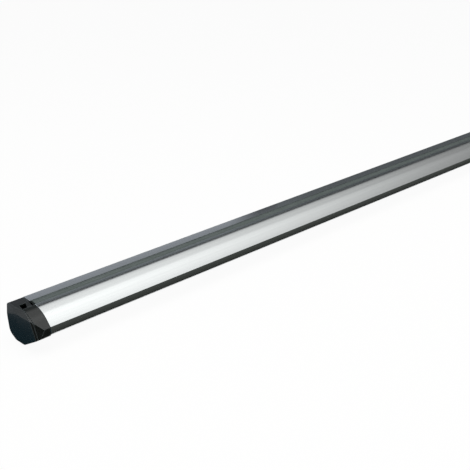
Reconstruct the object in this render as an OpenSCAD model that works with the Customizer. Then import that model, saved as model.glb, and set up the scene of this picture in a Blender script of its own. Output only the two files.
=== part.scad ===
// Roof rack crossbar: hollow teardrop aluminium bar with a T-track on top,
// a foot channel below, and a hinged end cap at each end.
// Millimetres. X runs along the bar, Y from the tail to the thick edge, Z up.
// The origin is at mid-length, under the track, on the underside.

/* [Bar] */
// length of the aluminium extrusion
bar_len = 1208; // [400:1:2400]
// height from the underside to the flat top
bar_h = 44.6; // [42:0.2:60]
// reach of the thick edge from the track line
edge_y = 23.2; // [21:0.1:30]
// reach of the tail from the track line
tail_y = 37; // [34:0.1:50]
// drop from the flat top to the crisp upper edge of the tail
tail_drop = 17.7; // [14:0.1:22]
// wall thickness of the shell
bar_wall = 2.2; // [1.6:0.1:3]
// thickness of the two upright webs
web_t = 2; // [1.5:0.1:3]
// distance of each web from the track line
web_y = 8; // [7.6:0.1:9]

/* [Top track] */
// opening of the track
track_open = 11; // [8:0.1:14]
// inner width of the track
track_in = 20; // [18:0.1:22]
// thickness of the track lips
track_lip = 3; // [2.4:0.1:3.5]
// inner height of the track under the lips
track_deep = 7; // [5:0.1:9]
// wall of the track below and beside its hollow
track_wall = 2; // [1.6:0.1:2.6]

/* [Foot channel] */
// opening of the foot channel
foot_open = 8.6; // [6:0.1:10]
// inner width of the foot channel
foot_in = 15; // [12:0.1:16]
// thickness of the foot channel lips
foot_lip = 2.6; // [2:0.1:3.2]
// inner height of the foot channel above the lips
foot_deep = 6.4; // [5:0.1:8]

/* [Track strip] */
// side clearance of the strip in the track opening
strip_clear = 0.2; // [0.1:0.05:0.6]
// drop of the strip face below the flat top
strip_drop = 0.5; // [0.2:0.1:1.5]
// width of the strip barbs under the lips
barb_w = 13.4; // [12:0.1:17]
// height of the strip barbs
barb_h = 1.6; // [1:0.1:3]
// distance of each strip end from the bar end
strip_inset = 1.2; // [0.5:0.1:30]

/* [End cap] */
// length of the whole cap outside the bar
cap_len = 21.6; // [20:0.1:30]
// drop of the cap top below the flat top of the bar
cap_low = 0.3; // [0.1:0.1:1]
// drop of the cap underside below the underside of the bar
cap_drop = 1.1; // [0.2:0.1:2]
// cut back of the end face at the tail against the thick edge
face_lean = 3.2; // [1:0.1:4]
// wall of the collar shell
collar_wall = 2.4; // [2:0.1:3]
// thickness of the collar plate against the bar
plate_t = 3; // [2.5:0.1:4]
// length of the plugs that enter the bar
plug_len = 14; // [8:0.5:30]
// clearance of the plugs inside the bar
plug_clear = 0.3; // [0.15:0.05:0.8]
// wall of the hollow plugs
plug_wall = 1.8; // [1.2:0.1:2.4]

/* [Lid] */
// thickness of the lid from the parting line to the end face
lid_t = 5.4; // [5.2:0.1:7]
// gap between lid and collar
lid_gap = 0.3; // [0.2:0.05:0.6]
// width of the thin top flange that stays on the collar
flange_t = 1.2; // [1:0.1:2.4]
// thickness of the lid tongue over the collar
tongue_t = 2.8; // [2:0.1:3.6]
// width of the cross strip of the tongue on the far side
cross_w = 3.8; // [2:0.1:5]
// extra width of the cross strip on the near side
cross_flare = 2.6; // [0:0.1:4]
// skew of the cross strip from the far side to the near side
cross_skew = 2; // [0:0.1:4]
// height of the facet ridge below the flat top on the end face
ridge_drop = 8.3; // [6:0.1:9]
// wall of the lid in front of the hollows in its back
lid_skin = 2; // [1.6:0.1:3]
// thickness of the ribs in the back of the lid
rib_t = 1.4; // [1:0.1:2.4]
// width of the shadow groove of the lid along the parting line
groove_w = 0.7; // [0.3:0.1:1.2]
// depth of the shadow groove
groove_deep = 0.6; // [0.3:0.1:1]
// opening angle of the lid, drawn closed
lid_open = 0; // [0:1:95]

/* [Hinge] */
// radius of the hinge barrel
barrel_r = 2.1; // [1.8:0.1:2.1]
// half width of the barrel of the lid
barrel_half = 3.4; // [2.5:0.1:4.5]
// width of each collar knuckle
knuckle_w = 2.8; // [2:0.1:4]
// side clearance between barrel and knuckles
knuckle_gap = 0.3; // [0.15:0.05:0.6]
// radius of the hinge pin
pin_r = 1; // [0.8:0.05:1.1]
// radial clearance of the pin in the lid barrel
pin_clear = 0.05; // [0.02:0.01:0.1]

/* [Fasteners] */
// radius of the bore of each screw port
port_r = 2.1; // [1.6:0.05:2.4]
// outer radius of each screw port
port_out = 4; // [3.6:0.1:4.6]
// slit of the screw port
port_slit = 2; // [1.2:0.1:2.6]
// distance of the rear port from the track line
port_rear_y = 13.4; // [12.8:0.1:14]
// distance of the front port from the track line
port_front_y = 13.4; // [12.8:0.1:18]
// depth of the ports below the flat top
port_drop = 23; // [20:0.1:26]
// radius of the screw thread, as a plain shank
screw_r = 2.1; // [1.6:0.05:2.4]
// length of the screw shank
screw_len = 19; // [12:0.5:30]
// radius of the screw head
head_r = 4; // [3.2:0.1:4.6]
// height of the screw head
head_h = 2.6; // [2:0.1:3.4]

/* [Hidden] */
$fn = 40;
eps = 0.01;

half = bar_len / 2;
top = bar_h;
part_x = cap_len - lid_t;
axis_x = part_x + 0.6;
axis_z = barrel_r + 0.3 - cap_drop;
hinge_half = barrel_half + knuckle_gap + knuckle_w;
tongue_y = track_open / 2 + 0.3;
port_z = top - port_drop;

// corners of the outline: y, z, corner radius
outline = [
  [edge_y - 1.2, top, 3.6],
  [edge_y, top - 16, 60],
  [edge_y - 2.2, top - 38, 11],
  [9, 0, 8],
  [-8.5, 0, 10],
  [-tail_y, 16.8, 4.5],
  [-tail_y + 0.2, top - tail_drop, 1],
  [-25.2, top - 6.4, 24],
  [-11, top, 18]
];

// the cap follows the bar, a little low, so the cut edge of the bar shows
cap_outline = [
  for (p = outline)
    [p[0], p[1] - cap_low - (cap_drop - cap_low) * (top - p[1]) / top, p[2]]
];

function turn(v) = [v[1], -v[0]];
function unit(v) = v / norm(v);
function xy(p) = [p[0], p[1]];

// point where two edges meet after both have moved inwards by d
function inset_corner(a, b, c, d) =
  let (
    u = unit(b - a),
    v = unit(c - b),
    s = cross(u, v),
    p = b + turn(u) * d,
    q = b + turn(v) * d,
    t = abs(s) < 0.001 ? 0 : cross(q - p, v) / s
  )
  p + u * t;

function inset(pts, d) = [
  for (i = [0:len(pts) - 1])
    let (
      n = len(pts),
      a = xy(pts[(i + n - 1) % n]),
      b = xy(pts[i]),
      c = xy(pts[(i + 1) % n]),
      q = inset_corner(a, b, c, d)
    )
    [q[0], q[1], max(0.6, pts[i][2] - d)]
];

// points of one rounded corner
function corner(a, b, c, r) =
  let (
    u = unit(a - b),
    v = unit(c - b),
    half_angle = acos(max(-1, min(1, u * v))) / 2,
    reach = r / tan(half_angle),
    mid = b + unit(u + v) * (r / sin(half_angle)),
    from = b + u * reach,
    to = b + v * reach,
    a0 = atan2(from[1] - mid[1], from[0] - mid[0]),
    a1 = atan2(to[1] - mid[1], to[0] - mid[0]),
    raw = a1 - a0,
    sweep = raw > 180 ? raw - 360 : (raw < -180 ? raw + 360 : raw),
    n = max(2, ceil(abs(sweep) / 6))
  )
  [for (k = [0:n]) mid + r * [cos(a0 + sweep * k / n), sin(a0 + sweep * k / n)]];

function rounded(pts) = [
  for (i = [0:len(pts) - 1])
    let (
      n = len(pts),
      a = xy(pts[(i + n - 1) % n]),
      b = xy(pts[i]),
      c = xy(pts[(i + 1) % n])
    )
    each corner(a, b, c, pts[i][2])
];

// draws a Y-Z section as a prism from x0 to x1
module prism(x0, x1) {
  translate([x0, 0, 0])
    rotate([90, 0, 90])
      linear_extrude(height = x1 - x0)
        children();
}

module box(x0, x1, y0, y1, z0, z1) {
  translate([x0, y0, z0])
    cube([x1 - x0, y1 - y0, z1 - z0]);
}

module rect(y0, y1, z0, z1) {
  translate([y0, z0])
    square([y1 - y0, z1 - z0]);
}

module section(pts) {
  polygon(rounded(pts));
}

// hollow of the top track, open to the top
module track_hollow() {
  rect(-track_open / 2, track_open / 2, top - track_lip - 1, top + 5);
  rect(-track_in / 2, track_in / 2, top - track_lip - track_deep, top - track_lip);
}

// hollow of the foot channel, open to the underside
module foot_hollow() {
  rect(-foot_open / 2, foot_open / 2, -5, foot_lip + 1);
  rect(-foot_in / 2, foot_in / 2, foot_lip, foot_lip + foot_deep);
}

module port_solid(y) {
  translate([y, port_z])
    circle(r = port_out);
}

module port_hollow(y) {
  side = sign(y);
  translate([y, port_z])
    circle(r = port_r);
  translate([y + side * port_out / 2, port_z])
    square([port_out + 2, port_slit], center = true);
}

// the bar is one extrusion
module bar() {
  block = track_in / 2 + track_wall;
  block_z = top - track_lip - track_deep - track_wall;
  foot_block = foot_in / 2 + track_wall;
  foot_z = foot_lip + foot_deep + track_wall;
  color("silver")
    prism(-half, half)
      difference() {
        section(outline);
        difference() {
          section(inset(outline, bar_wall));
          rect(-block, block, block_z, top);
          rect(-foot_block, foot_block, 0, foot_z);
          for (s = [-1, 1])
            translate([s * (web_y + web_t / 2), top / 2])
              square([web_t, top], center = true);
          port_solid(port_rear_y);
          port_solid(-port_front_y);
        }
        track_hollow();
        foot_hollow();
        port_hollow(port_rear_y);
        port_hollow(-port_front_y);
      }
}

module track_strip() {
  side = track_open / 2 - strip_clear;
  lip_z = top - track_lip;
  color("dimgray")
    prism(-half + strip_inset, half - strip_inset)
      union() {
        rect(-side, side, lip_z - strip_clear - eps, top - strip_drop);
        rect(-barb_w / 2, barb_w / 2, lip_z - strip_clear - barb_h, lip_z - strip_clear);
      }
}

// opening for the tongue of the lid, in plan, seen from above
module tongue_space(gap, z0) {
  box(
    flange_t - gap,
    part_x + 1,
    -tongue_y - gap,
    edge_y + 5,
    z0,
    top + 5
  );
}

module hinge_bore(r, extra) {
  translate([axis_x, 0, axis_z])
    rotate([90, 0, 0])
      cylinder(r = r, h = 2 * (hinge_half + extra), center = true);
}

module plug(y0, y1) {
  clear = bar_wall + plug_clear;
  prism(-plug_len, eps)
    difference() {
      intersection() {
        section(inset(outline, clear));
        rect(y0, y1, 0, top);
      }
      intersection() {
        section(inset(outline, clear + plug_wall));
        rect(y0 + plug_wall, y1 - plug_wall, 0, top);
      }
    }
}

// clears the track block, the channel block and the ports from the plugs
module plug_relief() {
  block = track_in / 2 + track_wall + plug_clear;
  block_z = top - track_lip - track_deep - track_wall - plug_clear;
  foot_block = foot_in / 2 + track_wall + plug_clear;
  foot_z = foot_lip + foot_deep + track_wall + plug_clear;
  prism(-plug_len - 1, 0)
    union() {
      rect(-block, block, block_z, top);
      rect(-foot_block, foot_block, 0, foot_z);
      for (y = [port_rear_y, -port_front_y])
        translate([y, port_z])
          circle(r = port_out + plug_clear);
    }
}

// cap parts are drawn for the left end with the bar end at x = 0 and the
// cap reaching to x = cap_len, then placed by at_left() and at_right()
module collar() {
  inner = inset(cap_outline, collar_wall);
  web_out = web_y + web_t + plug_clear;
  hook_z = top - tongue_t - lid_gap;
  color([0.15, 0.16, 0.17])
    difference() {
      union() {
        difference() {
          prism(0, part_x - lid_gap)
            section(cap_outline);
          prism(plate_t, part_x + 1)
            difference() {
              section(inner);
              rect(-tail_y - 1, -tail_y + 11, -5, top + 5);
              rect(-hinge_half, hinge_half, -5, axis_z + barrel_r);
            }
          tongue_space(0, hook_z);
          hinge_round(barrel_r + lid_gap);
          // straight clearance for the underside of the lid as it swings down
          box(
            axis_x - barrel_r - 2 * lid_gap,
            axis_x,
            -tail_y - 1,
            edge_y + 1,
            -5,
            axis_z + lid_gap
          );
        }
        // knuckles of the hinge
        intersection() {
          prism(0, cap_len)
            section(cap_outline);
          for (s = [-1, 1])
            translate([0, s * (barrel_half + knuckle_gap + knuckle_w / 2), 0])
              knuckle_arm();
        }
        plug(web_out, edge_y + 2);
        plug(-tail_y - 2, -web_out);
      }
      tail_facet();
      // track carried on through the plate
      prism(-1, plate_t + 1)
        track_hollow();
      plug_relief();
      hinge_bore(pin_r, 1);
      for (y = [port_rear_y, -port_front_y])
        translate([-1, y, port_z])
          rotate([0, 90, 0])
            cylinder(r = screw_r + 0.3, h = plate_t + 2);
    }
}

module knuckle_arm() {
  translate([axis_x, 0, axis_z])
    rotate([90, 0, 0])
      cylinder(r = barrel_r, h = knuckle_w, center = true);
  box(
    part_x - lid_gap - 3,
    axis_x,
    -knuckle_w / 2,
    knuckle_w / 2,
    axis_z - barrel_r,
    axis_z + barrel_r
  );
}

// one cutting block whose face passes through three points of the lid
module facet(a, b, c) {
  n = unit(cross(b - a, c - a));
  up = n[0] > 0 ? n : -n;
  yaw = atan2(up[1], up[0]);
  pitch = acos(up[2]);
  translate(a)
    rotate([0, 0, yaw])
      rotate([0, pitch, 0])
        translate([-60, -60, 0])
          cube([120, 120, 40]);
}

// block on one side of the line from a to b as seen along X: shift 0 gives
// the side towards the tail, and minus its height the side towards the top
module beside(a, b, shift) {
  translate([0, a[1], a[2]])
    rotate([atan2(b[2] - a[2], b[1] - a[1]), 0, 0])
      translate([-60, -60, shift])
        cube([120, 120, 60]);
}

// slanting cut that takes the crisp tail edge off towards the end face
module tail_facet() {
  facet(
    [8.2, -tail_y + 1.2, top - 16.9],
    [17.3, -27, top - 8.8],
    [cap_len - face_lean + 0.2, -tail_y + 3.6, top - 27.5]
  );
}

module lid() {
  e = cap_len;
  lean = face_lean / (edge_y + tail_y);
  ridge = [e - lean * (edge_y - 2), 2, top - ridge_drop];
  far_low = [e, edge_y, top - 15];
  far_top = [e - 1.2, edge_y - 3.4, top];
  near_top = [part_x + groove_w + 0.4, -11.2, top - 0.8];
  near_low = [e - lean * (edge_y + 26.5), -26.5, top - 7.9];
  tongue_end = flange_t + lid_gap;
  color([0.13, 0.14, 0.15])
    translate([axis_x, 0, axis_z])
      rotate([0, lid_open, 0])
        translate([-axis_x, 0, -axis_z])
          difference() {
            union() {
              intersection() {
                difference() {
                  prism(part_x - barrel_r, cap_len)
                    section(cap_outline);
                  shadow_groove();
                }
                union() {
                  box(part_x, cap_len + 1, -60, 60, axis_z, top + 5);
                  box(axis_x, cap_len + 1, -60, 60, -5, top + 5);
                  intersection() {
                    hinge_round(barrel_r);
                    union() {
                      box(part_x, cap_len, -60, 60, -5, 10);
                      box(0, cap_len, -barrel_half, barrel_half, -5, 10);
                    }
                  }
                }
              }
              tongue(tongue_end);
              latch();
            }
            facet([e, edge_y, 0], [e, edge_y, top], [e - face_lean, -tail_y, 0]);
            intersection() {
              facet(ridge, near_top, near_low);
              beside(ridge, near_top, 0);
            }
            intersection() {
              facet(ridge, far_top, near_top);
              beside(ridge, near_top, -60);
            }
            facet(ridge, far_low, far_top);
            tail_facet();
            lid_core();
            // pockets for the two knuckles of the collar
            for (s = [-1, 1])
              translate([0, s * (barrel_half + knuckle_gap + knuckle_w / 2), 0])
                knuckle_pocket();
            hinge_bore(pin_r + pin_clear, 1);
          }
}

// groove round the rim of the lid, above the hinge, beside the parting line
module shadow_groove() {
  prism(part_x - 1, part_x + groove_w)
    difference() {
      rect(-tail_y - 5, edge_y + 5, axis_z + barrel_r + lid_gap, top + 5);
      section(inset(cap_outline, groove_deep));
    }
}

// hollows in the back of the lid, with upright ribs left between them
module lid_core() {
  shift = cap_len - lid_skin;
  low = axis_z + barrel_r + lid_gap + rib_t;
  difference() {
    prism(part_x - 1, cap_len)
      intersection() {
        section(inset(cap_outline, collar_wall + lid_gap));
        difference() {
          rect(-24, edge_y, low, top - 18.5);
          for (y = [-14, -4.5, 4.5, 13])
            rect(y - rib_t / 2, y + rib_t / 2, 0, top);
        }
      }
    facet([shift, edge_y, 0], [shift, edge_y, top], [shift - face_lean, -tail_y, 0]);
  }
}

module hinge_round(r) {
  translate([axis_x, 0, axis_z])
    rotate([90, 0, 0])
      cylinder(r = r, h = 80, center = true);
}

module knuckle_pocket() {
  w = knuckle_w + 2 * knuckle_gap;
  translate([axis_x, 0, axis_z])
    rotate([90, 0, 0])
      cylinder(r = barrel_r + lid_gap, h = w, center = true);
  box(part_x - 1, axis_x + barrel_r + lid_gap, -w / 2, w / 2, -5, axis_z);
  box(part_x - 1, axis_x, -w / 2, w / 2, -5, axis_z + barrel_r + lid_gap);
}

// tongue over the collar, with the finger hole and the skewed cross strip
module tongue(end) {
  y0 = -tongue_y + lid_gap;
  far_y = track_open / 2 - 0.3;
  hole_x = part_x - 1.6;
  translate([0, 0, top - tongue_t])
    intersection() {
      translate([0, 0, -top + tongue_t])
        prism(end, part_x + 1)
          section(cap_outline);
      linear_extrude(height = tongue_t + 1)
        difference() {
          rect(end, part_x + 1, y0, edge_y + 2);
          polygon([
            [hole_x, far_y],
            [end + cross_w, far_y],
            [end + cross_w + cross_flare + cross_skew, y0 - 1],
            [hole_x + 1.2, y0 - 1]
          ]);
          polygon([
            [end - 1, track_open / 2 + 1],
            [end, track_open / 2 + 1],
            [end + cross_skew, y0 - 1],
            [end - 1, y0 - 1]
          ]);
        }
    }
}

// snap tab that slips in under the near wall of the collar
module latch() {
  box(part_x - 5, part_x + 0.5, -24, -16, top - 15.6, top - 14);
}

module hinge_pin() {
  color("lightgray")
    hinge_bore(pin_r, -0.3);
}

module screw(y) {
  color("gainsboro")
    translate([0, y, port_z]) {
      translate([plate_t + 0.02, 0, 0])
        rotate([0, 90, 0])
          difference() {
            cylinder(r1 = head_r, r2 = head_r - 0.8, h = head_h);
            translate([0, 0, head_h - 1.2]) {
              cube([5, 1.1, 4], center = true);
              cube([1.1, 5, 4], center = true);
            }
          }
      translate([plate_t + 0.5 - screw_len, 0, 0])
        rotate([0, 90, 0])
          cylinder(r = screw_r, h = screw_len);
    }
}

module at_left() {
  translate([-half, 0, 0])
    mirror([1, 0, 0])
      children();
}

module at_right() {
  translate([half, 0, 0])
    children();
}

bar();
track_strip();
at_left() collar();  // collar_left
at_left() lid();  // lid_left
at_left() hinge_pin();  // hinge_pin_left
at_left() screw(port_rear_y);  // screw_left_rear
at_left() screw(-port_front_y);  // screw_left_front
at_right() collar();  // collar_right
at_right() lid();  // lid_right
at_right() hinge_pin();  // hinge_pin_right
at_right() screw(port_rear_y);  // screw_right_rear
at_right() screw(-port_front_y);  // screw_right_front
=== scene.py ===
"""Looks of the roof rack crossbar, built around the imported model. Metres, +X along the bar."""

import math

import bmesh
import bpy
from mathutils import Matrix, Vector


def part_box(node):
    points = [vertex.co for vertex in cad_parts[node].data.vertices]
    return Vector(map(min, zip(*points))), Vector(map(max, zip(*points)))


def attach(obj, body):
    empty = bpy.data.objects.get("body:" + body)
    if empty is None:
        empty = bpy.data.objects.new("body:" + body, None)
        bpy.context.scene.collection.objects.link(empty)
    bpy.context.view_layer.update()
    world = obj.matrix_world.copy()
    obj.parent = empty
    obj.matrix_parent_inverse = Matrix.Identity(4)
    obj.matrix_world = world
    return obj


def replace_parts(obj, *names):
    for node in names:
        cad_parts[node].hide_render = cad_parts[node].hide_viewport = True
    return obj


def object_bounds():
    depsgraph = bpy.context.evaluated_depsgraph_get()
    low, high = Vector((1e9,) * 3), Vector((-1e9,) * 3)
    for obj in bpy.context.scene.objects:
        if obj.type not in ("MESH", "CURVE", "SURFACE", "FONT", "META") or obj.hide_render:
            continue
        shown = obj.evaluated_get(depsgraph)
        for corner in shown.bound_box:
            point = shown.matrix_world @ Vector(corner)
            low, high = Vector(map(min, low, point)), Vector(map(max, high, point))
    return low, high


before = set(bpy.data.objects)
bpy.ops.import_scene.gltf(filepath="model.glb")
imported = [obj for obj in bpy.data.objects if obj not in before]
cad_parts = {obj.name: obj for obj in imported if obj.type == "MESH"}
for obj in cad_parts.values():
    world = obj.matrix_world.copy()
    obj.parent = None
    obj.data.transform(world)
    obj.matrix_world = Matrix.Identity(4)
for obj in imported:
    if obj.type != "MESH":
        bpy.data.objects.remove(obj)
cad_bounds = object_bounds()

MM = 0.001
BAR_LOW, BAR_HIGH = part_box("bar")
BAR_HALF = BAR_HIGH.x
# the floor lies low enough for the open flaps
FLOOR_Z = cad_bounds[0].z - 6.5 * MM
# a cut end never meets the cap all round, which shows as a thin dark line
END_GAP = 0.55 * MM
# the strip is cut a little short, which leaves a black slot before each cap
STRIP_SHORT = 1.7 * MM
# chamfers at the cut ends
BAR_CHAMFER = 0.25 * MM
STRIP_CHAMFER = 0.2 * MM
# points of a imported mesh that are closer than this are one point
SAME_POINT = 2e-6
# degrees by which two faces turn at a sharp edge
EXTRUDED_EDGE = 14
MOULDED_EDGE = 13
TURNED_EDGE = 35
# the same between two facets that slant towards an end, which are shallow
FACET_EDGE = 1.5


# ---------------------------------------------------------------- node helpers
def colour(code):
    """Linear RGBA of an sRGB hex value."""
    parts = [int(code[i : i + 2], 16) / 255 for i in (1, 3, 5)]
    linear = [c / 12.92 if c <= 0.04045 else ((c + 0.055) / 1.055) ** 2.4 for c in parts]
    return (*linear, 1.0)


def add(tree, kind, settings=None, inputs=None):
    """Adds one node. An input is a value, or an output of another node."""
    made = tree.nodes.new(kind)
    for name, value in (settings or {}).items():
        setattr(made, name, value)
    for name, value in (inputs or {}).items():
        if isinstance(value, bpy.types.NodeSocket):
            tree.links.new(value, made.inputs[name])
        else:
            made.inputs[name].default_value = value
    return made


def maths(tree, operation, *values):
    """One step of arithmetic on values or outputs."""
    made = add(tree, "ShaderNodeMath", {"operation": operation}, dict(enumerate(values)))
    return made.outputs[0]


def scaled(tree, vector, factor):
    """A vector times a number."""
    made = add(tree, "ShaderNodeVectorMath", {"operation": "SCALE"}, {0: vector, "Scale": factor})
    return made.outputs[0]


def stretched(tree, where, scale, detail, rough=0.5):
    """A noise whose grain is scale cycles a metre along X, Y and Z."""
    place = add(tree, "ShaderNodeMapping", {}, {"Vector": where, "Scale": scale})
    noise = add(
        tree,
        "ShaderNodeTexNoise",
        {},
        {"Vector": place.outputs["Vector"], "Scale": 1.0, "Detail": detail, "Roughness": rough},
    )
    return noise.outputs["Fac"]


def spread(tree, value, low, high, start=0.3, stop=0.7):
    """Maps a value from start..stop to low..high. A noise fills about 0.3..0.7."""
    made = add(
        tree,
        "ShaderNodeMapRange",
        {},
        {"Value": value, "From Min": start, "From Max": stop, "To Min": low, "To Max": high},
    )
    return made.outputs["Result"]


def between(tree, value, first, second):
    """Mixes two colours by a value."""
    made = add(tree, "ShaderNodeMix", {"data_type": "RGBA"}, {0: value, 6: first, 7: second})
    return made.outputs[2]


def bumped(tree, height, strength, distance, normal=None):
    """The normal of a surface whose height varies by the distance."""
    inputs = {"Strength": strength, "Distance": distance, "Height": height}
    if normal is not None:
        inputs["Normal"] = normal
    return add(tree, "ShaderNodeBump", {}, inputs).outputs["Normal"]


def new_material(name):
    """An empty material with its output node and its object coordinates."""
    made = bpy.data.materials.new(name)
    made.use_nodes = True
    tree = made.node_tree
    tree.nodes.clear()
    out = add(tree, "ShaderNodeOutputMaterial")
    where = add(tree, "ShaderNodeTexCoord").outputs["Object"]
    return made, tree, out, where


def shade_with(tree, out, kind, inputs):
    """Adds a shader and sends it to the output."""
    shader = add(tree, kind, {}, inputs)
    tree.links.new(shader.outputs[0], out.inputs["Surface"])


# ------------------------------------------------------------------- materials
def anodised_aluminium():
    """6063 extrusion, caustic etched and natural anodised: satin, with fine die lines
    that run the whole length and blur reflections a little more across than along."""
    made, tree, out, where = new_material("natural_anodised_aluminium")
    # die lines, 0.35 mm apart
    lines = stretched(tree, where, (0.7, 2800, 2800), 4.0)
    # soft bands of the die, a few millimetres wide
    bands = stretched(tree, where, (0.4, 260, 260), 2.0)
    # etched grain, drawn at 0.25 mm so that it shows in a close view
    grain = stretched(tree, where, (4000, 4000, 4000), 2.0)
    tone = between(tree, spread(tree, bands, 0.0, 1.0), colour("#d3d6d6"), colour("#dcdfde"))
    shade = between(tree, spread(tree, lines, 0.0, 0.1), tone, colour("#b9bdbe"))
    rough = maths(tree, "ADD", spread(tree, lines, 0.17, 0.25), spread(tree, grain, 0.0, 0.04))
    relief = maths(tree, "ADD", lines, spread(tree, grain, 0.0, 0.25))
    shade_with(
        tree,
        out,
        "ShaderNodeBsdfPrincipled",
        {
            "Base Color": shade,
            "Metallic": 1.0,
            "Roughness": rough,
            "Normal": bumped(tree, relief, 0.08, 0.02 * MM),
        },
    )
    return made


def strip_rubber():
    """EPDM rubber, extruded: dull, a little dusty, with faint lines along its length."""
    made, tree, out, where = new_material("extruded_epdm_rubber")
    lines = stretched(tree, where, (3, 1600, 1600), 3.0)
    dust = stretched(tree, where, (38, 120, 120), 6.0, 0.62)
    pores = stretched(tree, where, (5200, 5200, 5200), 2.0)
    tone = between(tree, spread(tree, lines, 0.0, 1.0), colour("#4e5756"), colour("#575f5d"))
    dusty = between(tree, spread(tree, dust, 0.0, 0.35, 0.48, 0.72), tone, colour("#6b7271"))
    relief = maths(tree, "MULTIPLY_ADD", pores, 0.6, lines)
    shade_with(
        tree,
        out,
        "ShaderNodeBsdfPrincipled",
        {
            "Base Color": dusty,
            "Roughness": spread(tree, dust, 0.5, 0.66),
            "IOR": 1.52,
            "Normal": bumped(tree, relief, 0.25, 0.05 * MM),
        },
    )
    return made


def cap_plastic():
    """Black ABS, injection moulded. The tool is spark eroded, which gives a fine even
    grain with a soft sheen, and polished on the end panel, which is darker and shinier.
    Every edge, hollow ones too, gets a painted highlight: a paler colour, broken into scuff-like
    patches."""
    made, tree, out, where = new_material("moulded_black_abs")
    # spark-eroded grain, drawn at 0.35 mm so that it shows
    cells = add(
        tree,
        "ShaderNodeTexVoronoi",
        {"feature": "SMOOTH_F1"},
        {"Vector": where, "Scale": 2800.0, "Smoothness": 0.6},
    )
    fine = stretched(tree, where, (5600, 5600, 5600), 2.0)
    # slow flow marks from filling the mould
    flow = stretched(tree, where, (60, 34, 26), 3.0)
    # scuff-like patches that break up the painted edge highlight, longest up and down
    highlight_patches = stretched(tree, where, (900, 900, 120), 5.0, 0.65)
    # 1 on the end panel, 0 elsewhere
    panel = add(tree, "ShaderNodeAttribute", {"attribute_name": "panel"}).outputs["Fac"]
    relief = maths(tree, "MULTIPLY_ADD", fine, 0.5, cells.outputs["Distance"])
    # the small radius that a mould leaves on every edge
    rounded = add(tree, "ShaderNodeBevel", {"samples": 8}, {"Radius": 0.45 * MM}).outputs[0]
    depth = spread(tree, panel, 0.22, 0.07, 0.0, 1.0)
    # how far the rounded normal turns from the flat one: 0 on a flat, more at an edge
    flat = add(tree, "ShaderNodeNewGeometry").outputs["Normal"]
    same = add(tree, "ShaderNodeVectorMath", {"operation": "DOT_PRODUCT"}, {0: rounded, 1: flat})
    edge = spread(tree, same.outputs["Value"], 1.0, 0.0, 0.994, 0.9994)
    # painted edge highlight: the mask of every edge, convex and hollow, in scuff-like patches
    painted_edge_highlight = maths(tree, "MULTIPLY", edge, spread(tree, highlight_patches, 0.25, 0.8))
    satin = between(tree, spread(tree, flow, 0.0, 1.0), colour("#090d0b"), colour("#0e1311"))
    tone = between(tree, panel, satin, colour("#0c1113"))
    # mixes in #5a6264, the pale colour of the painted edge highlight
    tone_with_edge_highlight = between(tree, painted_edge_highlight, tone, colour("#5a6264"))
    polish = spread(tree, panel, 0.0, -0.08, 0.0, 1.0)
    shade_with(
        tree,
        out,
        "ShaderNodeBsdfPrincipled",
        {
            "Base Color": tone_with_edge_highlight,
            "Roughness": maths(tree, "ADD", spread(tree, flow, 0.31, 0.38), polish),
            "IOR": 1.59,
            "Normal": bumped(tree, relief, depth, 0.04 * MM, rounded),
        },
    )
    return made


def bright_steel(name, pale, dark, grain, rough_low, rough_high):
    """Steel with fine working marks; grain says how they run."""
    made, tree, out, where = new_material(name)
    marks = stretched(tree, where, grain, 3.0)
    film = stretched(tree, where, (700, 700, 700), 4.0)
    shade_with(
        tree,
        out,
        "ShaderNodeBsdfPrincipled",
        {
            "Base Color": between(
                tree, spread(tree, film, 0.0, 1.0), colour(pale), colour(dark)
            ),
            "Metallic": 1.0,
            "Roughness": spread(tree, marks, rough_low, rough_high),
            "Normal": bumped(tree, marks, 0.15, 0.02 * MM),
        },
    )
    return made


ALUMINIUM = anodised_aluminium()
RUBBER = strip_rubber()
PLASTIC = cap_plastic()
# stainless wire, drawn along its length; the pins lie along Y
PIN_STEEL = bright_steel("drawn_stainless_wire", "#c4c4c0", "#a9aaa6", (5000, 60, 5000), 0.2, 0.32)
# zinc plated and clear passivated: pale, with a cloudy film
SCREW_STEEL = bright_steel("zinc_plated_steel", "#cfd3d6", "#aeb3b8", (2500, 2500, 2500), 0.24, 0.4)


# ---------------------------------------------------------------- mesh helpers
def new_object(name, mesh):
    """An object of a mesh, in the scene."""
    made = bpy.data.objects.new(name, mesh)
    bpy.context.scene.collection.objects.link(made)
    return made


def object_from(bm, name):
    """An object of a bmesh, which is freed."""
    mesh = bpy.data.meshes.new(name)
    bm.to_mesh(mesh)
    bm.free()
    return new_object(name, mesh)


def one_face(name, corners):
    """An object with a single face."""
    mesh = bpy.data.meshes.new(name)
    mesh.from_pydata(corners, [], [(0, 1, 2, 3)])
    return new_object(name, mesh)


def keep_as_mesh(obj, name):
    """Turns an object with modifiers into one plain mesh object of that name."""
    bpy.context.view_layer.update()
    shown = obj.evaluated_get(bpy.context.evaluated_depsgraph_get())
    mesh = bpy.data.meshes.new_from_object(shown)
    bpy.data.objects.remove(obj)
    mesh.name = name
    return new_object(name, mesh)


def smooth_by_angle(mesh, degrees):
    """Smooth shading, with sharp edges where faces turn by more than the angle."""
    mesh.shade_smooth()
    mesh.set_sharp_from_angle(angle=math.radians(degrees))


def set_only_material(obj, material):
    """Gives an object one material."""
    obj.data.materials.clear()
    obj.data.materials.append(material)


def node_bmesh(node):
    """A bmesh of a CAD node, with its loose triangles joined."""
    bm = bmesh.new()
    bm.from_mesh(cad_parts[node].data)
    bmesh.ops.remove_doubles(bm, verts=bm.verts, dist=SAME_POINT)
    return bm


def middle(node):
    """The middle of a CAD node's box."""
    low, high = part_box(node)
    return (low + high) / 2


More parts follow.
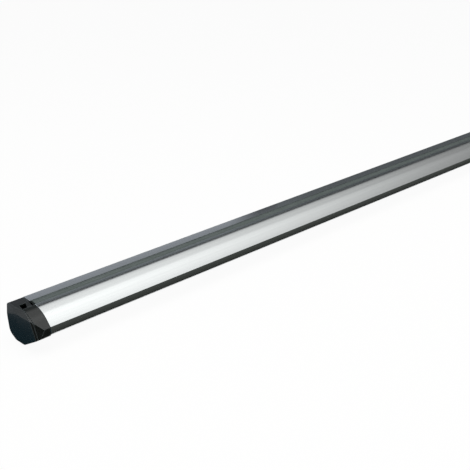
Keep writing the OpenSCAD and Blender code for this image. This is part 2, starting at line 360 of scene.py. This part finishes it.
def group(name, inputs):
    """A geometry tree with named inputs, its input and output nodes, and identifiers."""
    tree = bpy.data.node_groups.new(name, "GeometryNodeTree")
    sockets = {}
    tree.interface.new_socket("Geometry", in_out="INPUT", socket_type="NodeSocketGeometry")
    for label, kind in inputs:
        made = tree.interface.new_socket(label, in_out="INPUT", socket_type=kind)
        sockets[label] = made.identifier
    tree.interface.new_socket("Geometry", in_out="OUTPUT", socket_type="NodeSocketGeometry")
    return tree, add(tree, "NodeGroupInput"), add(tree, "NodeGroupOutput"), sockets


def named_value(tree, name, data_type):
    """An attribute that the points of the object carry."""
    made = add(tree, "GeometryNodeInputNamedAttribute", {"data_type": data_type}, {"Name": name})
    return made.outputs["Attribute"]


def finish_group(tree, start, end, geometry):
    """Ends a tree: makes the geometry real and gives it the material."""
    real = add(tree, "GeometryNodeRealizeInstances", {}, {"Geometry": geometry})
    done = add(
        tree,
        "GeometryNodeSetMaterial",
        {},
        {"Geometry": real.outputs[0], "Material": start.outputs["Finish"]},
    )
    tree.links.new(done.outputs[0], end.inputs[0])


def run_group(obj, tree, sockets, values, name):
    """Runs a geometry tree on an object and keeps the result as a plain mesh."""
    made = obj.modifiers.new(tree.name, "NODES")
    made.node_group = tree
    for label, value in values.items():
        made[sockets[label]] = value
    return keep_as_mesh(obj, name)


# ----------------------------------------------------- extruded bar and strip
def extrusion_group():
    """A filled section, pushed out along X, with a small chamfer at both ends."""
    tree, start, end, sockets = group(
        "extruded_section",
        [
            ("Length", "NodeSocketFloat"),
            ("Chamfer", "NodeSocketFloat"),
            ("Finish", "NodeSocketMaterial"),
        ],
    )
    chamfer = start.outputs["Chamfer"]
    inward = scaled(tree, named_value(tree, "mitre", "FLOAT_VECTOR"), chamfer)
    outward = scaled(tree, inward, -1.0)
    twice = maths(tree, "MULTIPLY", chamfer, 2.0)
    rest = maths(tree, "SUBTRACT", start.outputs["Length"], twice)
    short = add(tree, "ShaderNodeCombineXYZ", {}, {"X": chamfer})
    long = add(tree, "ShaderNodeCombineXYZ", {}, {"X": rest})

    near = add(
        tree,
        "GeometryNodeSetPosition",
        {},
        {"Geometry": start.outputs["Geometry"], "Offset": inward},
    )
    mesh = add(tree, "GeometryNodeFlipFaces", {}, {"Mesh": near.outputs[0]}).outputs[0]
    picked = None
    for step, move in ((short, outward), (long, None), (short, inward)):
        wanted = {"Mesh": mesh, "Offset": step.outputs[0], "Offset Scale": 1.0, "Individual": False}
        if picked is not None:
            wanted["Selection"] = picked
        pushed = add(tree, "GeometryNodeExtrudeMesh", {"mode": "FACES"}, wanted)
        mesh, picked = pushed.outputs["Mesh"], pushed.outputs["Top"]
        if move is not None:
            mesh = add(
                tree,
                "GeometryNodeSetPosition",
                {},
                {"Geometry": mesh, "Selection": picked, "Offset": move},
            ).outputs[0]
    both = add(tree, "GeometryNodeJoinGeometry")
    tree.links.new(near.outputs[0], both.inputs[0])
    tree.links.new(mesh, both.inputs[0])
    sewn = add(
        tree, "GeometryNodeMergeByDistance", {}, {"Geometry": both.outputs[0], "Distance": 1e-6}
    )
    finish_group(tree, start, end, sewn.outputs[0])
    return tree, sockets


def section_object(name, bm):
    """Stores, on each rim point of a flat section, the way into its material."""
    store = bm.verts.layers.float_vector.new("mitre")
    for vert in bm.verts:
        normals = []
        for edge in vert.link_edges:
            if len(edge.link_faces) != 1:
                continue
            along = (edge.verts[1].co - edge.verts[0].co).normalized()
            side = along.cross(Vector((1, 0, 0)))
            # a neighbour inside the face tells which side is material
            face = edge.link_faces[0]
            loop = next(l for l in face.loops if l.edge == edge)
            turn = (loop.link_loop_next.vert.co - loop.vert.co).cross(face.normal)
            normals.append(side if side.dot(turn) < 0 else -side)
        if len(normals) == 2:
            one, two = normals
            # a very sharp corner gets a bounded mitre
            vert[store] = (one + two) / max(0.2, 1 + one.dot(two))
    return object_from(bm, name)


def bar_section():
    """The flat end of the CAD bar, facing -X."""
    bm = node_bmesh("bar")
    end_plane = BAR_LOW.x + 0.1 * MM
    away = [f for f in bm.faces if any(v.co.x > end_plane for v in f.verts)]
    bmesh.ops.delete(bm, geom=away, context="FACES")
    for vert in bm.verts:
        vert.co.x += END_GAP
    bm.normal_update()
    return section_object("bar_section", bm)


def strip_section():
    """Half of the strip's section in millimetres, from the middle of its face round to
    the middle of its underside: two grooves in the face, barbs with a lead-in below."""
    low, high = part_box("track_strip")
    start = low.x + STRIP_SHORT
    top, base, barb = high.z / MM, low.z / MM, high.y / MM
    # half the width between the lips, and the foot of the groove
    side, groove = 5.3, top - 0.35
    barb_top = base + 1.6
    half = [
        (2.1, top),
        (2.3, groove),
        (2.9, groove),
        (3.1, top),
        (side - 0.45, top),
        (side - 0.12, top - 0.12),
        (side, top - 0.45),
        (side, barb_top),
        (barb - 0.25, barb_top),
        (barb, base + 1.35),
        (barb, base + 0.9),
        (side, base),
        (1.2, base),
    ]
    rim = half + [(-y, z) for y, z in reversed(half)]
    bm = bmesh.new()
    face = bm.faces.new([bm.verts.new((start, y * MM, z * MM)) for y, z in rim])
    bm.normal_update()
    if face.normal.x > 0:
        face.normal_flip()
    bm.normal_update()
    return section_object("strip_section", bm), -2 * start


extrusion, extrusion_sockets = extrusion_group()
bar = run_group(
    bar_section(),
    extrusion,
    extrusion_sockets,
    {"Length": 2 * (BAR_HALF - END_GAP), "Chamfer": BAR_CHAMFER, "Finish": ALUMINIUM},
    "bar_extrusion",
)
strip_flat, strip_length = strip_section()
strip = run_group(
    strip_flat,
    extrusion,
    extrusion_sockets,
    {"Length": strip_length, "Chamfer": STRIP_CHAMFER, "Finish": RUBBER},
    "track_infill",
)
for obj, node, slot in (
    (bar, "bar", "anodised_aluminium"),
    (strip, "track_strip", "strip_rubber"),
):
    smooth_by_angle(obj.data, EXTRUDED_EDGE)
    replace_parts(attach(obj, "crossbar"), node)


# ------------------------------------------------------------- moulded end caps
def keep_facets_flat(bm):
    """Marks edges sharp: the crisp ones, and the shallow ones between facets that
    slant towards an end of the bar."""
    for edge in bm.edges:
        if len(edge.link_faces) != 2:
            continue
        one, two = (face.normal for face in edge.link_faces)
        turned = math.degrees(one.angle(two, 0.0))
        slanting = min(abs(one.x), abs(two.x)) > 0.3
        edge.smooth = turned <= (FACET_EDGE if slanting else MOULDED_EDGE)


def mark_end_panel(bm):
    """Stores 1 on the upright outer faces of a cap, its polished end panel, and 0 on
    all others."""
    panel = bm.faces.layers.float.new("panel")
    depth = 5 * MM
    for face in bm.faces:
        outer = abs(face.calc_center_median().x) > cad_bounds[1].x - depth
        upright = abs(face.normal.x) > 0.99 and abs(face.normal.z) < 0.03
        face[panel] = float(outer and upright)


def moulding(node, body):
    """The CAD shape of a cap part, its flats whole and its curves smooth."""
    bm = node_bmesh(node)
    bmesh.ops.dissolve_limit(
        bm, angle_limit=math.radians(0.4), verts=bm.verts, edges=bm.edges
    )
    bm.normal_update()
    keep_facets_flat(bm)
    mark_end_panel(bm)
    made = object_from(bm, node + "_shape")
    soft = made.modifiers.new("face_normals", "WEIGHTED_NORMAL")
    soft.keep_sharp = True
    soft.weight = 60
    made = keep_as_mesh(made, node + "_moulding")
    set_only_material(made, PLASTIC)
    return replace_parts(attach(made, body), node)


for side in ("left", "right"):
    moulding("collar_" + side, "crossbar")
    moulding("lid_" + side, "flap_" + side)


# ------------------------------------------------------------- pins and screws
def plain(radius):
    """The same radius all round."""
    return lambda turn: radius


def skin_of_rings(name, rows, count):
    """A closed skin through rings of points, each (x, radius at an angle)."""
    bm = bmesh.new()
    rings = []
    for x, radius in rows:
        ring = []
        for k in range(count):
            turn = 2 * math.pi * k / count
            r = radius(turn)
            ring.append(bm.verts.new((x, r * math.cos(turn), r * math.sin(turn))))
        rings.append(ring)
    for one, two in zip(rings, rings[1:]):
        for k in range(count):
            m = (k + 1) % count
            bm.faces.new((one[k], one[m], two[m], two[k]))
    bm.faces.new(rings[0][::-1])
    bm.faces.new(rings[-1])
    bmesh.ops.recalc_face_normals(bm, faces=bm.faces)
    return object_from(bm, name)


def screw_body():
    """Self-tapping pan head screw, its seat at x = 0, the head towards +X."""
    length, root, crest, pitch = 18.5 * MM, 1.65 * MM, 2.08 * MM, 1.8 * MM
    # half the foot of the thread's ridge, as a share of the pitch
    flank = 0.28
    # length of the tapered point, and the tip's radius as a share of the full one
    point, tip = 2.5 * MM, 0.35
    # the head's radius and height, its upright rim, and how flat its dome is
    head, height, rim, dome = 3.95 * MM, 2.55 * MM, 0.2 * MM, 0.55
    rings_in_turn, thread_rings = 8, 76

    def thread(x):
        def radius(turn):
            phase = (x / pitch - turn / (2 * math.pi)) % 1.0
            ridge = max(0.0, 1 - abs(phase - 0.5) / flank)
            full = min(1.0, (x + length) / point)
            return (root + (crest - root) * ridge) * (tip + (1 - tip) * full)

        return radius

    rows = []
    for i in range(thread_rings):
        x = -length + i * pitch / rings_in_turn
        rows.append((x, thread(x)))
    # the plain shank under the head, then the head
    rows += [(-0.9 * MM, plain(root)), (0.0, plain(root))]
    rows += [(0.02 * MM, plain(head - rim)), (rim, plain(head))]
    dome_rings = 7
    for k in range(1, dome_rings + 1):
        a = k / dome_rings * math.pi / 2
        radius = max(0.3 * MM, head * math.cos(a) ** dome)
        rows.append((rim + (height - rim) * math.sin(a), plain(radius)))
    return skin_of_rings("screw_body", rows, 32)


def cross_cutter():
    """Tapered cross of the driver recess."""
    # arm and blade of the cross in millimetres, its mouth and its foot along X
    arm, blade, mouth, foot = 4.6, 1.0, 2.8 * MM, 0.9 * MM
    bm = bmesh.new()
    for wide, deep in ((arm, blade), (blade, arm)):
        made = bmesh.ops.create_cube(bm, size=1.0)
        for vert in made["verts"]:
            outside = vert.co.x > 0
            taper = 1.0 if outside else 0.45
            vert.co = Vector(
                (
                    mouth if outside else foot,
                    vert.co.y * wide * taper * MM,
                    vert.co.z * deep * taper * MM,
                )
            )
    bmesh.ops.recalc_face_normals(bm, faces=bm.faces)
    return object_from(bm, "driver_cross")


def screw_pattern():
    """The screw. The cut only marks the cross on its head and takes no metal out."""
    body, cutter = screw_body(), cross_cutter()
    cut = body.modifiers.new("driver_recess", "BOOLEAN")
    cut.operation = "DIFFERENCE"
    cut.solver = "EXACT"
    cut.object = cutter
    made = keep_as_mesh(body, "screw_pattern")
    bpy.data.objects.remove(cutter)
    return made


def pin_pattern(length):
    """Hinge pin along X with chamfered ends, turned to lie along Y by its seat."""
    r, chamfer, half = 0.99 * MM, 0.25 * MM, length / 2
    rows = [
        (-half, plain(r - chamfer)),
        (-half + chamfer, plain(r)),
        (half - chamfer, plain(r)),
        (half, plain(r - chamfer)),
    ]
    return skin_of_rings("pin_pattern", rows, 28)


def seats_group():
    """Puts a copy of one object on each seat, turned about Z by the seat's own angle."""
    tree, start, end, sockets = group(
        "fasteners_on_seats",
        [("Fastener", "NodeSocketObject"), ("Finish", "NodeSocketMaterial")],
    )
    points = add(tree, "GeometryNodeMeshToPoints", {}, {"Mesh": start.outputs["Geometry"]})
    angles = add(tree, "ShaderNodeCombineXYZ", {}, {"Z": named_value(tree, "turn", "FLOAT")})
    part = add(tree, "GeometryNodeObjectInfo", {}, {"Object": start.outputs["Fastener"]})
    copies = add(
        tree,
        "GeometryNodeInstanceOnPoints",
        {},
        {
            "Points": points.outputs[0],
            "Instance": part.outputs["Geometry"],
            "Rotation": angles.outputs[0],
        },
    )
    finish_group(tree, start, end, copies.outputs[0])
    return tree, sockets


def seats(name, places):
    """Points with the angle that each fastener is turned by."""
    mesh = bpy.data.meshes.new(name)
    mesh.from_pydata([place for place, _ in places], [], [])
    turn = mesh.attributes.new("turn", "FLOAT", "POINT")
    turn.data.foreach_set("value", [angle for _, angle in places])
    return new_object(name, mesh)


# from the outer end of a screw to the seat of its head
HEAD_SEAT = 2.58 * MM

seat_tree, seat_sockets = seats_group()

screw = screw_pattern()
screw_nodes = ["screw_left_rear", "screw_left_front", "screw_right_rear", "screw_right_front"]
screw_places = []
for node in screw_nodes:
    low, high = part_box(node)
    centre = (low + high) / 2
    if "left" in node:
        screw_places.append((Vector((low.x + HEAD_SEAT, centre.y, centre.z)), math.pi))
    else:
        screw_places.append((Vector((high.x - HEAD_SEAT, centre.y, centre.z)), 0.0))
screws = run_group(
    seats("screw_seats", screw_places),
    seat_tree,
    seat_sockets,
    {"Fastener": screw, "Finish": SCREW_STEEL},
    "cap_screws",
)

pin_nodes = ["hinge_pin_left", "hinge_pin_right"]
pin_low, pin_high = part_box(pin_nodes[0])
pin = pin_pattern(pin_high.y - pin_low.y)
pins = run_group(
    seats("pin_seats", [(middle(node), math.pi / 2) for node in pin_nodes]),
    seat_tree,
    seat_sockets,
    {"Fastener": pin, "Finish": PIN_STEEL},
    "hinge_pins",
)
for pattern in (screw, pin):
    bpy.data.objects.remove(pattern)
for obj, nodes, slot in (
    (screws, screw_nodes, "screw_steel"),
    (pins, pin_nodes, "pin_steel"),
):
    smooth_by_angle(obj.data, TURNED_EDGE)
    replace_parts(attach(obj, "crossbar"), *nodes)


# ------------------------------------------------------------- floor and world
WHITE = (1, 1, 1, 1)
FLOOR_HALF = 14
# the share of plain white that a seen ray finds on the floor; the rest keeps the shadow
FLOOR_WHITE = 0.94
WORLD_FILL = 0.42


def white_for_seen_rays(tree, seen, other, share):
    """Mixes in a plain white for camera, glossy and transmission rays."""
    path = add(tree, "ShaderNodeLightPath").outputs
    either = maths(tree, "MAXIMUM", path["Is Camera Ray"], path["Is Glossy Ray"])
    any_of = maths(tree, "MAXIMUM", either, path["Is Transmission Ray"])
    part = maths(tree, "MULTIPLY", any_of, share)
    return add(tree, "ShaderNodeMixShader", {}, {0: part, 1: other, 2: seen})


def make_floor():
    """A pale floor that shows as white with the object's shadow."""
    far, z = FLOOR_HALF, FLOOR_Z
    corners = [(-far, -far, z), (far, -far, z), (far, far, z), (-far, far, z)]
    floor = one_face("studio_floor", corners)
    made, tree, out, _ = new_material("pale_studio_floor")
    paint = add(tree, "ShaderNodeBsdfDiffuse", {}, {"Color": colour("#f4f4f3")})
    glow = add(tree, "ShaderNodeEmission", {}, {"Color": WHITE, "Strength": 1.0})
    mix = white_for_seen_rays(tree, glow.outputs[0], paint.outputs[0], FLOOR_WHITE)
    tree.links.new(mix.outputs[0], out.inputs["Surface"])
    set_only_material(floor, made)


def make_world():
    """An even pale fill, seen as plain white."""
    world = bpy.data.worlds.new("studio")
    bpy.context.scene.world = world
    world.use_nodes = True
    tree = world.node_tree
    tree.nodes.clear()
    out = add(tree, "ShaderNodeOutputWorld")
    fill = add(
        tree, "ShaderNodeBackground", {}, {"Color": colour("#eef1f4"), "Strength": WORLD_FILL}
    )
    white = add(tree, "ShaderNodeBackground", {}, {"Color": WHITE, "Strength": 1.0})
    mix = white_for_seen_rays(tree, white.outputs[0], fill.outputs[0], 1.0)
    tree.links.new(mix.outputs[0], out.inputs["Surface"])


# ----------------------------------------------- light tent and studio cards
TENT_RADIUS = 2.2
TENT_HALF = 4.6
# degrees between the folds of the tent's roof
TENT_STEP = 6

# each pair: degrees round the tent, from the floor behind the bar over the top to the
# floor before it, and the strength there
SOFTBOX_LEVELS = (
    (66, 0.0),
    (70, 0.42),
    (74, 0.82),
    (78, 1.1),
    (84, 1.3),
    (92, 1.44),
    (100, 1.53),
    (110, 1.56),
    (122, 1.56),
    (131, 1.1),
    (139, 0.5),
    (147, 0.1),
    (158, 0.0),
)
WALL_LEVELS = ((0, 0.6), (20, 1.0), (36, 1.0), (50, 0.75), (64, 0.0))
# along X, the softbox falls to half at its reach, and the steeper the higher the power
SOFTBOX_REACH = 2.22
SOFTBOX_POWER = 2.67
# distance from the middle along X, and the share of the wall's light there
WALL_NEAR = (1.45, 0.25)
WALL_FAR = (2.1, 0.155)
# the same for a paler wall beyond the left end, which edges turned that way catch
LEFT_WALL_NEAR = (-1.35, 0.0)
LEFT_WALL_FAR = (-2.0, 0.95)


def reflected_only(obj):
    """A studio card that shows only in reflections, as a flag or softbox face does."""
    obj.visible_camera = False
    obj.visible_diffuse = False
    obj.visible_shadow = False
    obj.visible_volume_scatter = False


def level_by_angle(tree, angle, levels):
    """Straight runs between the levels given for some angles."""
    total = None
    for (a, low), (b, high) in zip(levels, levels[1:]):
        first = total is None
        run = spread(
            tree,
            angle,
            low if first else 0.0,
            high if first else high - low,
            math.radians(a),
            math.radians(b),
        )
        total = run if first else maths(tree, "ADD", total, run)
    return total


def tent_shape():
    """Half a tube along X, closed at both ends, on the floor."""
    bm = bmesh.new()
    rings = []
    for x in (-TENT_HALF, TENT_HALF):
        ring = []
        for degrees in range(0, 181, TENT_STEP):
            a = math.radians(degrees)
            ring.append(
                bm.verts.new((x, TENT_RADIUS * math.cos(a), TENT_RADIUS * math.sin(a) + FLOOR_Z))
            )
        rings.append(ring)
    near, far = rings
    for k in range(len(near) - 1):
        bm.faces.new((near[k], near[k + 1], far[k + 1], far[k]))
    for ring in rings:
        bm.faces.new(ring)
    return object_from(bm, "light_tent")


def make_tent():
    """A light tent over the bar: a long softbox overhead that fades to grey walls. The
    metal mirrors it as a bright band with dark bands on both sides."""
    tent = tent_shape()
    made, tree, out, where = new_material("tent_cloth")
    place = add(tree, "ShaderNodeSeparateXYZ", {}, {"Vector": where}).outputs
    angle = maths(tree, "ARCTAN2", place["Z"], place["Y"])
    overhead = level_by_angle(tree, angle, SOFTBOX_LEVELS)
    walls = level_by_angle(tree, angle, WALL_LEVELS)
    away = maths(tree, "ABSOLUTE", place["X"])
    fall = maths(tree, "POWER", maths(tree, "DIVIDE", away, SOFTBOX_REACH), SOFTBOX_POWER)
    lit = maths(tree, "DIVIDE", overhead, maths(tree, "ADD", fall, 1.0))
    dim = add(
        tree,
        "ShaderNodeMapRange",
        {"interpolation_type": "SMOOTHSTEP"},
        {
            "Value": away,
            "From Min": WALL_NEAR[0],
            "From Max": WALL_FAR[0],
            "To Min": WALL_NEAR[1],
            "To Max": WALL_FAR[1],
        },
    )
    left = spread(
        tree, place["X"], LEFT_WALL_FAR[1], LEFT_WALL_NEAR[1], LEFT_WALL_FAR[0], LEFT_WALL_NEAR[0]
    )
    level = maths(tree, "ADD", dim.outputs[0], left)
    strength = maths(tree, "MULTIPLY_ADD", walls, level, lit)
    tint = between(tree, overhead, colour("#d6dfe6"), colour("#ffffff"))
    shade_with(tree, out, "ShaderNodeEmission", {"Color": tint, "Strength": strength})
    set_only_material(tent, made)
    reflected_only(tent)


def make_card(name, corners, tint, axis, low, high):
    """A card that shows only in reflections. Its glow changes along an axis: low and
    high are pairs of a place on the axis and a strength."""
    made, tree, out, where = new_material(name + "_cloth")
    place = add(tree, "ShaderNodeSeparateXYZ", {}, {"Vector": where}).outputs
    strength = spread(tree, place[axis], low[1], high[1], low[0], high[0])
    shade_with(tree, out, "ShaderNodeEmission", {"Color": colour(tint), "Strength": strength})
    card = one_face(name, corners)
    set_only_material(card, made)
    reflected_only(card)


def even(strength):
    """The same strength all over a card, as make_card's low and high."""
    return (0, strength), (1, strength)


def lying(x0, x1, y0, y1, above=0.3):
    """The corners of a card that lies a fraction of a millimetre above the floor."""
    z = FLOOR_Z + above * MM
    return [(x0, y0, z), (x1, y0, z), (x1, y1, z), (x0, y1, z)]


def make_cards():
    """Dark cloths on the floor before and behind the bar, which give the metal its dark
    lower edges. At each end a black card under the cap, a blue-grey one that the end
    panel mirrors and a grey one beyond. A low pale board behind the near end."""
    cloth = "#eaf2ea"
    make_card(
        "cloth_front", lying(-4.4, 4.4, -1.9, -0.042), cloth, "Y", (-0.11, 0.12), (-0.055, 0.0)
    )
    make_card("cloth_back", lying(-0.62, 0.62, 0.03, 0.25), cloth, "Y", (0.05, 0.02), (0.2, 0.1))
    for name, end in (("left", -1), ("right", 1)):
        inner, cap, outer, far = (end * x for x in (0.6, 0.629, 0.676, 1.1))
        black = lying(inner, cap, -0.06, 0.06, 0.6)
        blue = lying(cap, outer, -0.065, 0.085, 0.6)
        grey = lying(cap, far, -0.065, 0.5)
        make_card("black_" + name, black, "#ffffff", "Y", *even(0.02))
        make_card("blue_" + name, blue, "#33525f", "Y", *even(0.95))
        make_card("grey_" + name, grey, "#e2e9ef", "Y", *even(0.6))
    y, low, top = 0.062, 0.057, 0.079
    board = [(-0.66, y, low), (-0.13, y, low), (-0.13, y, top), (-0.66, y, top)]
    make_card("board_back", board, "#dfe4ee", "X", (-0.235, 0.5), (-0.17, 0.13))


def area_light(name, place, target, wide, high, power, tint):
    """A rectangular lamp that no reflection shows."""
    data = bpy.data.lights.new(name, "AREA")
    data.shape = "RECTANGLE"
    data.size, data.size_y = wide, high
    data.energy = power
    data.color = colour(tint)[:3]
    lamp = bpy.data.objects.new(name, data)
    bpy.context.scene.collection.objects.link(lamp)
    lamp.location = place
    aim = Vector(target) - Vector(place)
    lamp.rotation_euler = aim.to_track_quat("-Z", "Y").to_euler()
    lamp.visible_glossy = False


make_floor()
make_world()
make_tent()
make_cards()
area_light("overhead_softbox", (-0.5, -0.35, 1.7), (-0.35, 0.0, 0.0), 2.2, 1.2, 26, "#fffdf8")
area_light("front_fill", (-1.9, -1.7, 0.9), (-0.5, 0.0, 0.02), 0.9, 0.9, 2.5, "#f4f8ff")


# --------------------------------------------------------------------- camera
def make_camera():
    """The photo's camera: low three-quarter view over the near end cap."""
    data = bpy.data.cameras.new("photo_camera")
    data.sensor_width = 36.0
    data.lens = 65.1
    data.clip_start, data.clip_end = 0.02, 60.0
    camera = bpy.data.objects.new("photo_camera", data)
    bpy.context.scene.collection.objects.link(camera)
    camera.location = (-1.0275, -0.8006, 0.5263)
    ahead = Vector((0.62259, 0.66550, -0.41170))
    camera.rotation_euler = ahead.to_track_quat("-Z", "Y").to_euler()
    bpy.context.scene.camera = camera


make_camera()
bpy.context.scene.view_settings.view_transform = "Standard"
